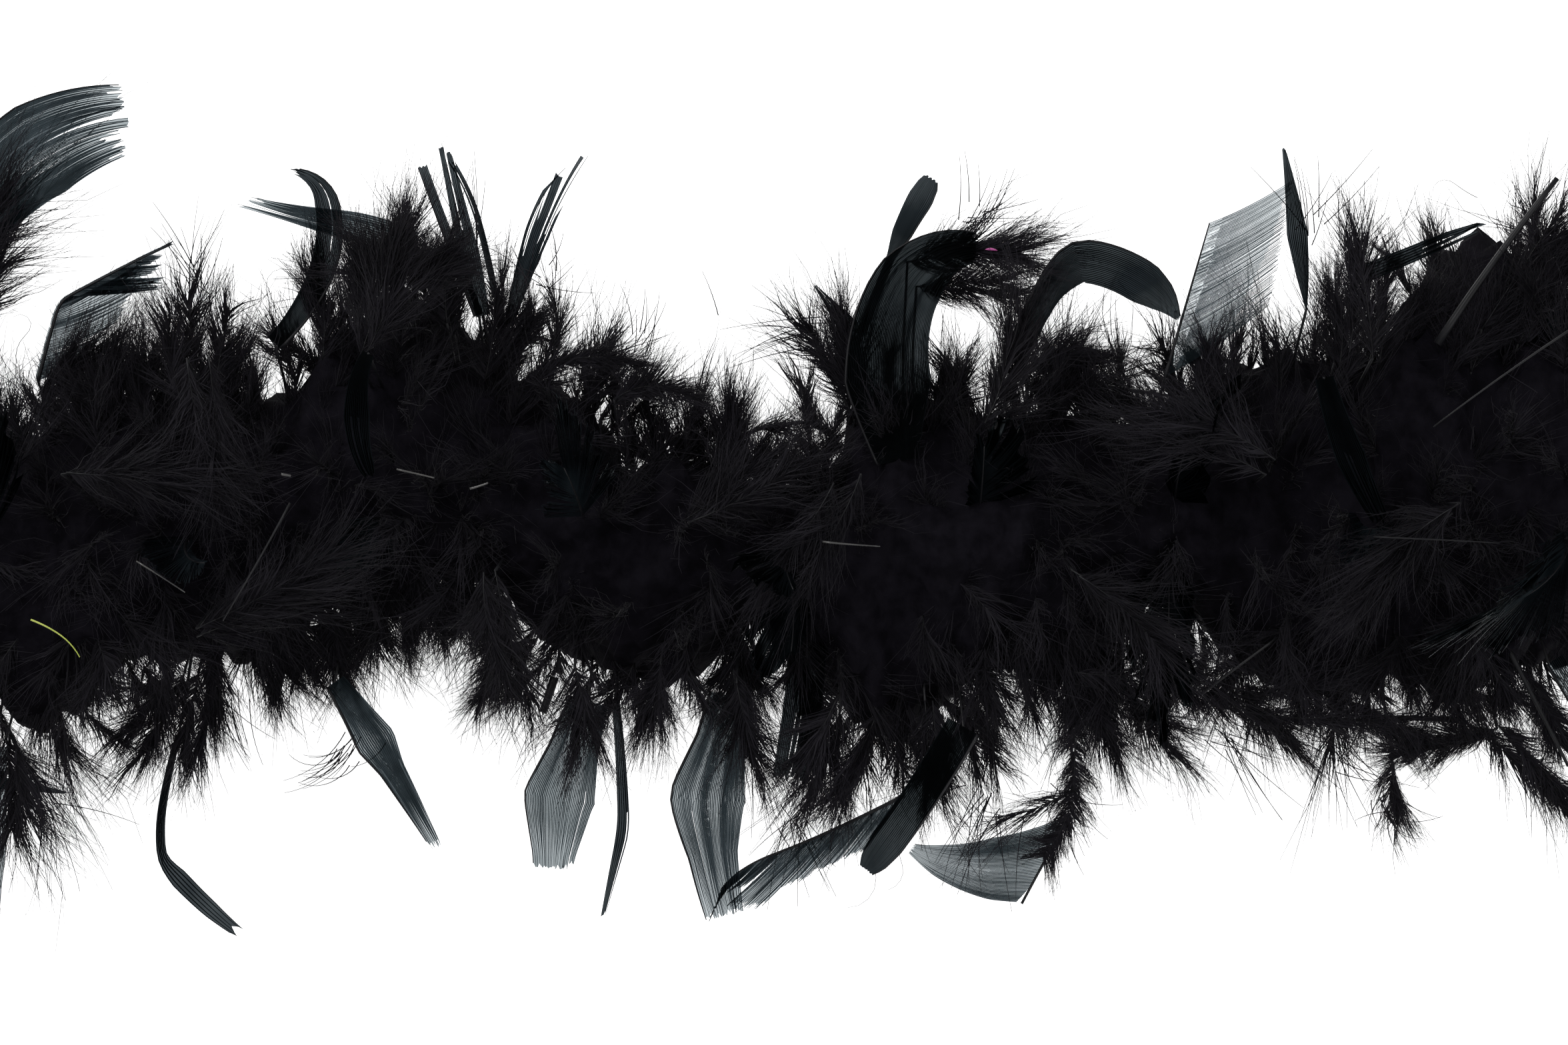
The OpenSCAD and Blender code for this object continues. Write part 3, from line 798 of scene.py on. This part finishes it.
# Each is where it starts, its heading, its length and reach, and what else differs
STANDOUT_PLUMES = [
    ((-186, 44, 44), (56, 44), 36, 17, dict(barbs=300)),
    ((-178, 36, 44), (64, 52), 28, 13, {}),
    ((-158, 24, 50), (50, 30), 18, 12, {}),
    ((-143, 18, 50), (95, 80), 15, 12, {}),
    ((-136, 22, 50), (92, 88), 13, 9, {}),
    ((-124, 26, 50), (100, 92), 27, 11, {}),
    ((-121, 26, 50), (84, 76), 24, 9, {}),
    ((-98, 34, 50), (84, 108), 22, 9, dict(matted=0.2)),
    ((-79, 49, 66), (60, 20), 12, 9, dict(barbs=240)),
    ((-80, 49, 66), (92, 84), 14, 9, dict(barbs=240)),
    ((-81, 49, 66), (120, 160), 12, 9, dict(barbs=240)),
    ((-79, 56, 62), (84, 100), 13, 3.2, dict(barbs=90)),
    ((-90, 42, 60), (80, 110), 18, 9, {}),
    ((-71, 42, 60), (96, 78), 20, 9, {}),
    ((-70, 40, 50), (104, 92), 16, 9, {}),
    ((-61, 30, 50), (84, 92), 28, 8, dict(barbs=150, matted=0.2)),
    ((-60, 28, 50), (78, 70), 20, 7, {}),
    ((-52, 33, 54), [(0, 20), (0.5, -4), (1, -36)], 28, 6, {}),
    ((-36, 26, 54), [(0, 40), (0.4, 0), (1, -50)], 22, 7, {}),
    ((-12, 10, 50), (88, 80), 16, 9, {}),
    ((15, 22, 50), (116, 120), 27, 11, dict(barbs=240)),
    ((17, 24, 54), (100, 108), 24, 9, {}),
    ((26, 55, 58), (10, -4), 29, 11, dict(barbs=300, matted=0.12)),
    ((28, 50, 54), (-2, -12), 26, 8, dict(matted=0.12)),
    ((53, 31, 50), (44, 10), 16, 9, dict(sides=(0.3, 1), matted=0.2)),
    ((52, 28, 46), (40, 10), 16, 10, dict(sides=(0.4, 1))),
    ((88, 24, 56), (84, 96), 13, 9, {}),
    ((117, 34, 50), (88, 92), 19, 8, dict(matted=0.2)),
    ((125, 36, 50), (78, 84), 20, 8, dict(matted=0.25)),
    ((134, 36, 46), (74, 60), 14, 9, {}),
    ((148, 41, 52), (57, 57), 36, 11, dict(sides=(0.02, 1), barbs=300)),
    ((146, 32, 50), (70, 58), 18, 11, dict(barbs=260)),
    ((156, 38, 50), (60, 64), 22, 11, {}),
    ((163, 38, 50), (80, 88), 20, 12, {}),
    ((-166, -46, 44), (-84, -96), 22, 16, dict(sides=(1, 0.3))),
    ((-160, -34, 40), (-74, -62), 20, 13, dict(barbs=110, matted=0.15)),
    ((-128, -32, 44), (-112, -122), 24, 10, dict(barbs=240)),
    ((-125, -32, 44), (-100, -106), 22, 9, {}),
    ((-122, -24, 44), (-92, -86), 16, 9, {}),
    ((-108, -22, 44), (-86, -76), 13, 9, {}),
    ((-96, -18, 44), (-96, -88), 14, 9, {}),
    ((-80, -10, 44), (-96, -88), 14, 9, {}),
    ((-60, -26, 44), (-104, -124), 16, 7, dict(matted=0.3)),
    ((-44, -30, 60), (-80, -70), 18, 10, {}),
    ((-26, -30, 58), (-100, -86), 13, 9, {}),
    ((-10, -34, 56), (-80, -70), 22, 12, {}),
    ((3, -30, 46), (-70, -84), 24, 11, {}),
    ((12, -40, 48), (-100, -120), 24, 13, {}),
    ((20, -40, 48), (-110, -128), 26, 12, {}),
    ((30, -38, 48), (-84, -96), 24, 11, {}),
    ((37, -34, 46), (-74, -82), 22, 9, {}),
    ((61.8, -34, 46), [(0, -88), (0.45, -92), (0.65, -122), (1, -140)], 50, 4.6,
     dict(barbs=800, slant=(58, 35), layers=1, matted=0.25)),
    ((60, -34, 50), [(0, -12), (0.6, 8), (1, 20)], 36, 9, {}),
    ((54, -14, 46), (-94, -84), 21, 9, {}),
    ((59, -26, 46), (-84, -74), 20, 8, {}),
    ((65, -32, 46), (-76, -62), 20, 10, dict(barbs=240)),
    ((62, -57, 44), (-150, -168), 20, 10, dict(barbs=80, matted=0.05, layers=1)),
    ((152, -24, 46), (-88, -80), 18, 9, {}),
    ((108, -22, 46), (-88, -80), 17, 9, {}),
    ((119, -22, 46), (-92, -98), 17, 9, {}),
    ((132, -24, 50), (-86, -80), 14, 9, {}),
    ((140, -26, 50), (-92, -84), 14, 9, {}),
    ((84, -36, 50), [(0, -22), (0.4, -4), (1, 6)], 60, 8.5,
     dict(sides=(0.5, 1), barbs=340, matted=0.3)),
    ((73, -36, 44), (-62, -36), 20, 10, dict(matted=0.2)),
    ((98, -36, 44), (-60, -30), 18, 9, dict(matted=0.2)),
    ((120, -38, 44), (-40, -20), 18, 8, dict(matted=0.2)),
    ((152, -44, 46), (-170, -162), 28, 8, dict(barbs=260)),
    ((130, -50, 44), [(0, -96), (0.5, -80), (1, -104)], 13, 7, dict(matted=0.05, barbs=120)),
    ((149, -44, 46), [(0, -46), (0.5, -40), (1, -56)], 28, 11, dict(barbs=280)),
    ((160, -36, 44), (-70, -56), 16, 9, {}),
    # downy feathers that lie on top of the body
    ((-122, -22, 76), (24, 34), 40, 14, dict(rise=2)),
    ((-60, -10, 76), (-82, -64), 36, 13, dict(rise=-8)),
    ((-88, 34, 78), (70, 84), 30, 13, dict(rise=-4)),
    ((-150, 10, 76), (10, -14), 38, 13, dict(rise=-4)),
    ((-124, 34, 76), (-84, -70), 34, 13, dict(rise=-6)),
    ((122, 34, 78), (92, 104), 30, 13, dict(rise=-8)),
    ((60, -10, 74), (-30, -60), 36, 14, dict(rise=-8)),
    ((100, 10, 76), (150, 170), 36, 14, dict(rise=-4)),
    ((140, 4, 78), (-150, -120), 36, 14, dict(rise=-6)),
    ((-20, 0, 70), (20, 40), 32, 13, dict(rise=-6)),
    ((16, 10, 72), (-110, -140), 34, 13, dict(rise=-6)),
    ((44, 20, 76), (60, 100), 30, 13, dict(rise=-6)),
]
# Shafts and cut quill ends: start, heading, length, radius at each end, look
# Bare shafts: start, heading, length, radius at each end, look: dark, or glossy with a lighter
# colour that is a painted glint
BARE_SHAFTS = [
    ((164, 41, 84), -147, 37, 0.28, 0.15, "dark"), ((-102, 4, 82), -118, 28, 0.28, 0.15, "dark"),
    ((-134, -8, 80), -31, 12, 0.2, 0.15, "painted_glint"), ((122, -3, 80), -2, 26, 0.2, 0.12, "dark"),
    ((-104, 10, 80), -12, 2, 0.3, 0.25, "painted_glint"), ((-80, 11, 82), -12, 8, 0.22, 0.15, "painted_glint"),
    ((-65, 7, 80), 14, 4, 0.25, 0.2, "painted_glint"), ((8, -4, 78), -6, 12, 0.24, 0.12, "painted_glint"),
    ((-49, -33, 44), -106, 8, 0.95, 0.85, "dark"), ((35, -46, 40), -92, 12, 0.7, 0.6, "dark"),
    ((62, 30, 46), -8, 24, 0.5, 0.3, "dark"), ((88, -36, 60), 37, 20, 0.35, 0.25, "dark"),
    ((137.6, 37.6, 60), 57, 43, 0.9, 0.55, "dark"), ((153, -25, 50), -63, 30, 0.6, 0.35, "dark"),
    ((50.8, -81.5, 43), 62, 22, 0.3, 0.25, "dark"), ((143, -42, 46), 178, 18, 0.7, 0.4, "dark"),
]
# Single curved hairs: start, heading and its spread, turn along the hair, length, number
HAIRS = [
    ((-92, -48, 48), -120, 6, -70, 16, 18), ((6, 42, 50), 165, 25, 20, 20, 12),
    ((-14, 44, 50), 104, 6, 14, 14, 1), ((-30, 36, 50), 60, 30, 20, 12, 8),
    ((70, 30, 52), 40, 22, -40, 20, 16), ((95, -46, 44), -42, 16, 10, 20, 16),
    ((128, -60, 42), -100, 45, 60, 11, 18), ((118, -48, 44), -52, 14, 16, 18, 12),
    ((-120, -38, 44), -80, 25, 20, 16, 14), ((44, -60, 46), -120, 26, 20, 22, 16),
    ((-52, 50, 56), 60, 35, 30, 12, 12), ((112, 62, 56), 84, 20, 10, 18, 10),
    ((-160, -62, 40), -62, 26, -14, 20, 14), ((40, 64, 56), 30, 30, 10, 14, 14),
    ((-124, 50, 50), 88, 26, 10, 14, 14), ((-96, 50, 52), 150, 30, 20, 12, 10),
    ((-66, 60, 52), 95, 12, 6, 20, 8), ((2, -64, 44), -92, 24, 10, 18, 14),
    ((-8, -44, 46), -74, 14, -6, 22, 18), ((60, -58, 44), -60, 30, 20, 14, 12),
]
STRAY_HAIRS = 150


def make_standout_strips():
    """The flat feathers whose barbs run along them, one piece each, with their feet."""
    for number, (name, start, head, length, width, profile, fray, extra) in enumerate(STRIPS):
        rng = np.random.default_rng(300 + number)
        bundle = Bundle()
        spine = Spine(start, head, extra.get("rise", 2), [(0, 12), (0.5, -6), (1, 10)],
                      length, 26)
        lay_strip(bundle, rng, spine, width, profile, fray, extra.get("splits", 2),
                  extra.get("edge", 0), extra.get("pitch", 0.36),
                  extra.get("thickness", 0.12), extra.get("skew", 0))
        bind_to_cord(bundle, extra.get("foot", start), STEM)
        bundle.build("flat_" + name, VANE_LOOK[extra.get("web", "thin")], "vane")


def make_standout_vanes():
    """The flat feathers whose barbs stand out from the shaft, one piece each."""
    for number, spec in enumerate(VANES):
        rng = np.random.default_rng(300 + len(STRIPS) + number)
        bundle = Bundle()
        spine = Spine(spec["at"], spec["head"], 2, 8, spec["length"], 30)
        lay_vane(bundle, rng, spine, spec["width"], spec["angle"], spec["shape"], spec["fray"],
                 0.01, 0.36, spec["thickness"], spec.get("splits", 0), spec.get("lobes", ()),
                 spec.get("web_reach", [(0, 0.96), (1, 0.96)]))
        bind_to_cord(bundle, spec["at"], STEM)
        bundle.build("flat_" + spec["name"], VANE_LOOK[spec.get("web", "thin")], "vane")


def make_standout_plumes():
    """The downy feathers that stand out, in groups of neighbours with their fuzz."""
    groups = 6
    for group in range(groups):
        plumes, fuzz = Bundle(), Bundle()
        for number, (start, headings, length, reach, extra) in enumerate(STANDOUT_PLUMES):
            if number * groups // len(STANDOUT_PLUMES) != group:
                continue
            rng = np.random.default_rng(500 + number)
            for layer in range(extra.get("layers", 2)):
                head = np.array(headings, float)
                degrees = head if head.ndim == 1 else head[:, 1]
                degrees += layer * rng.normal(0, 9, len(head))
                spine = Spine(np.array(start) + rng.normal(0, 2, 3) * layer, head,
                              extra.get("rise", 2), rng.uniform(-25, 25),
                              length * (1 - 0.15 * layer), 16)
                lay_plume(plumes, fuzz, rng, spine, reach * 1.35,
                          int(1.5 * extra.get("barbs", 190)), 20, 0.07, 5,
                          extra.get("matted", 0.4), extra.get("sides", (1, 1)),
                          extra.get("slant", (38, 5)))
            bind_to_cord(plumes, start, 1)
        plumes.build(f"tufts_{group + 1}", [DOWN, SHAFT], "down")
        fuzz.build(f"tuft_fuzz_{group + 1}", [DOWN], "down")


def bind_to_cord(bundle, start, mark):
    """The hidden foot of a feather, from the cord to where the feather starts."""
    foot, _ = cord_at(middle_s(start[0] * 0.96))
    t = np.linspace(0, 1, 6)[:, None]
    start = np.array(start, float)
    line = foot + (start - foot) * np.hstack([t, t, t**4])
    bundle.tube(line, np.linspace(0.5, 0.3, 6), 5, mark)


def make_shafts():
    """The bare shafts that lie on the down: dark ones, and glossy ones whose lighter colour is a
    painted glint.
    """
    # The second look is the lighter, glossy quill material: its lighter colour is a painted glint
    # on the shafts
    for look, material in (("dark", SHAFT), ("painted_glint", QUILL)):
        bundle = Bundle()
        for number, (start, heading, length, thick, thin, kind) in enumerate(BARE_SHAFTS):
            if kind != look:
                continue
            rng = np.random.default_rng(800 + number)
            spine = Spine(start, (heading, heading + rng.normal(0, 5)), 1, 0, length, 8)
            bundle.tube(spine.line, np.linspace(thick, thin, 8), 8)
        bundle.build(f"shafts_{look}", [material], "quill", smooth=True)


def make_hairs():
    """Single curved hairs at the edge of the down, with their fuzz."""
    rng = np.random.default_rng(91)
    hairs, fuzz = Bundle(), Bundle()
    for start, heading, spread, turn, length, number in HAIRS:
        for _ in range(number):
            first = heading + rng.normal(0, spread)
            spine = Spine(np.array(start) + rng.normal(0, 2.2, 3) * (number > 1),
                          (first, first + turn * rng.uniform(0.4, 1.5)),
                          rng.normal(0, 8), 0, length * rng.uniform(0.6, 1.1), 10)
            hairs.tube(spine.line, np.linspace(0.15, 0.05, 10), 3)
            lay_barbules(fuzz, rng, spine.line[None], 16, 0.8)
    hairs.build("long_hairs", [DOWN], "down")
    fuzz.build("long_hair_fuzz", [DOWN], "down")


def make_strays():
    """Loose hairs of down that float free of the body's edge."""
    rng = np.random.default_rng(77)
    hairs = Bundle()
    for _ in range(STRAY_HAIRS):
        s = rng.uniform(fan_at(0), fan_at(SECTIONS * FANS_IN_SECTION))
        hand = rng.choice([-1, 1])
        at, heading = cord_at(s)
        away = math.degrees(heading) + hand * 90
        reach = fullness(s, hand)
        out = np.array([math.cos(math.radians(away)), math.sin(math.radians(away)), 0])
        start = at + out * reach * rng.uniform(0.75, 1.05) + [0, 0, rng.uniform(-20, 22)]
        first = away + rng.normal(0, 45)
        spine = Spine(start, [(0, first), (0.5, first + rng.normal(0, 50)),
                              (1, first + rng.normal(0, 90))], rng.normal(0, 20), 0,
                      rng.uniform(8, 24), 10)
        hairs.tube(spine.line, np.linspace(0.09, 0.04, 10), 3)
    hairs.build("stray_hairs", [DOWN], "down")
    fibre = Bundle()
    spine = Spine((-155, -20, 86), [(0, -20), (0.5, -34), (1, -62)], 0, 0, 13, 12)
    fibre.tube(spine.line, np.linspace(0.22, 0.12, 12), 5)
    fibre.build("stray_fibre", [FIBRE], "down", smooth=True)
    fleck = Bundle()
    spine = Spine((42, 57, 70), (10, -20), 0, 0, 2.6, 6)
    fleck.tube(spine.line, [0.05, 0.2, 0.3, 0.26, 0.18, 0.05], 6)
    fleck.build("stray_fleck", [FLECK], "down", smooth=True)


# ---- Light table and lights ----
def make_stage():
    """The glowing table top, the white surroundings and two soft lamps."""
    size = 6.0
    mesh = bpy.data.meshes.new("light_table")
    mesh.from_pydata([(-size, -size, 0), (size, -size, 0), (size, size, 0), (-size, size, 0)],
                     [], [(0, 1, 2, 3)])
    table = bpy.data.objects.new("light_table", mesh)
    bpy.context.scene.collection.objects.link(table)
    material = bpy.data.materials.new("light_table")
    material.use_nodes = True
    shader = material.node_tree.nodes["Principled BSDF"]
    shader.inputs["Base Color"].default_value = (0.9, 0.9, 0.9, 1)
    shader.inputs["Roughness"].default_value = 0.6
    shader.inputs["Specular IOR Level"].default_value = 0.0
    shader.inputs["Emission Color"].default_value = (1, 1, 1, 1)
    shader.inputs["Emission Strength"].default_value = 0.9
    mesh.materials.append(material)
    world = bpy.data.worlds.new("studio")
    world.use_nodes = True
    world.node_tree.nodes["Background"].inputs["Color"].default_value = (1, 1, 1, 1)
    world.node_tree.nodes["Background"].inputs["Strength"].default_value = 0.55
    bpy.context.scene.world = world
    for name, place, energy, size in (("key", (-0.7, 0.9, 1.3), 12, 0.9),
                                      ("fill", (0.9, -0.6, 1.1), 4, 1.0)):
        lamp = bpy.data.objects.new(name, bpy.data.lights.new(name, "AREA"))
        lamp.data.energy, lamp.data.size = energy, size
        lamp.location = place
        lamp.rotation_euler = (-Vector(place)).to_track_quat("-Z", "Y").to_euler()
        bpy.context.scene.collection.objects.link(lamp)
    bpy.context.scene.view_settings.view_transform = "Standard"


make_camera()
make_cord()
make_bindings()
for section in range(1, SECTIONS + 1):
    make_section(section)
make_standout_strips()
make_standout_vanes()
make_standout_plumes()
make_shafts()
make_hairs()
make_strays()
make_stage()
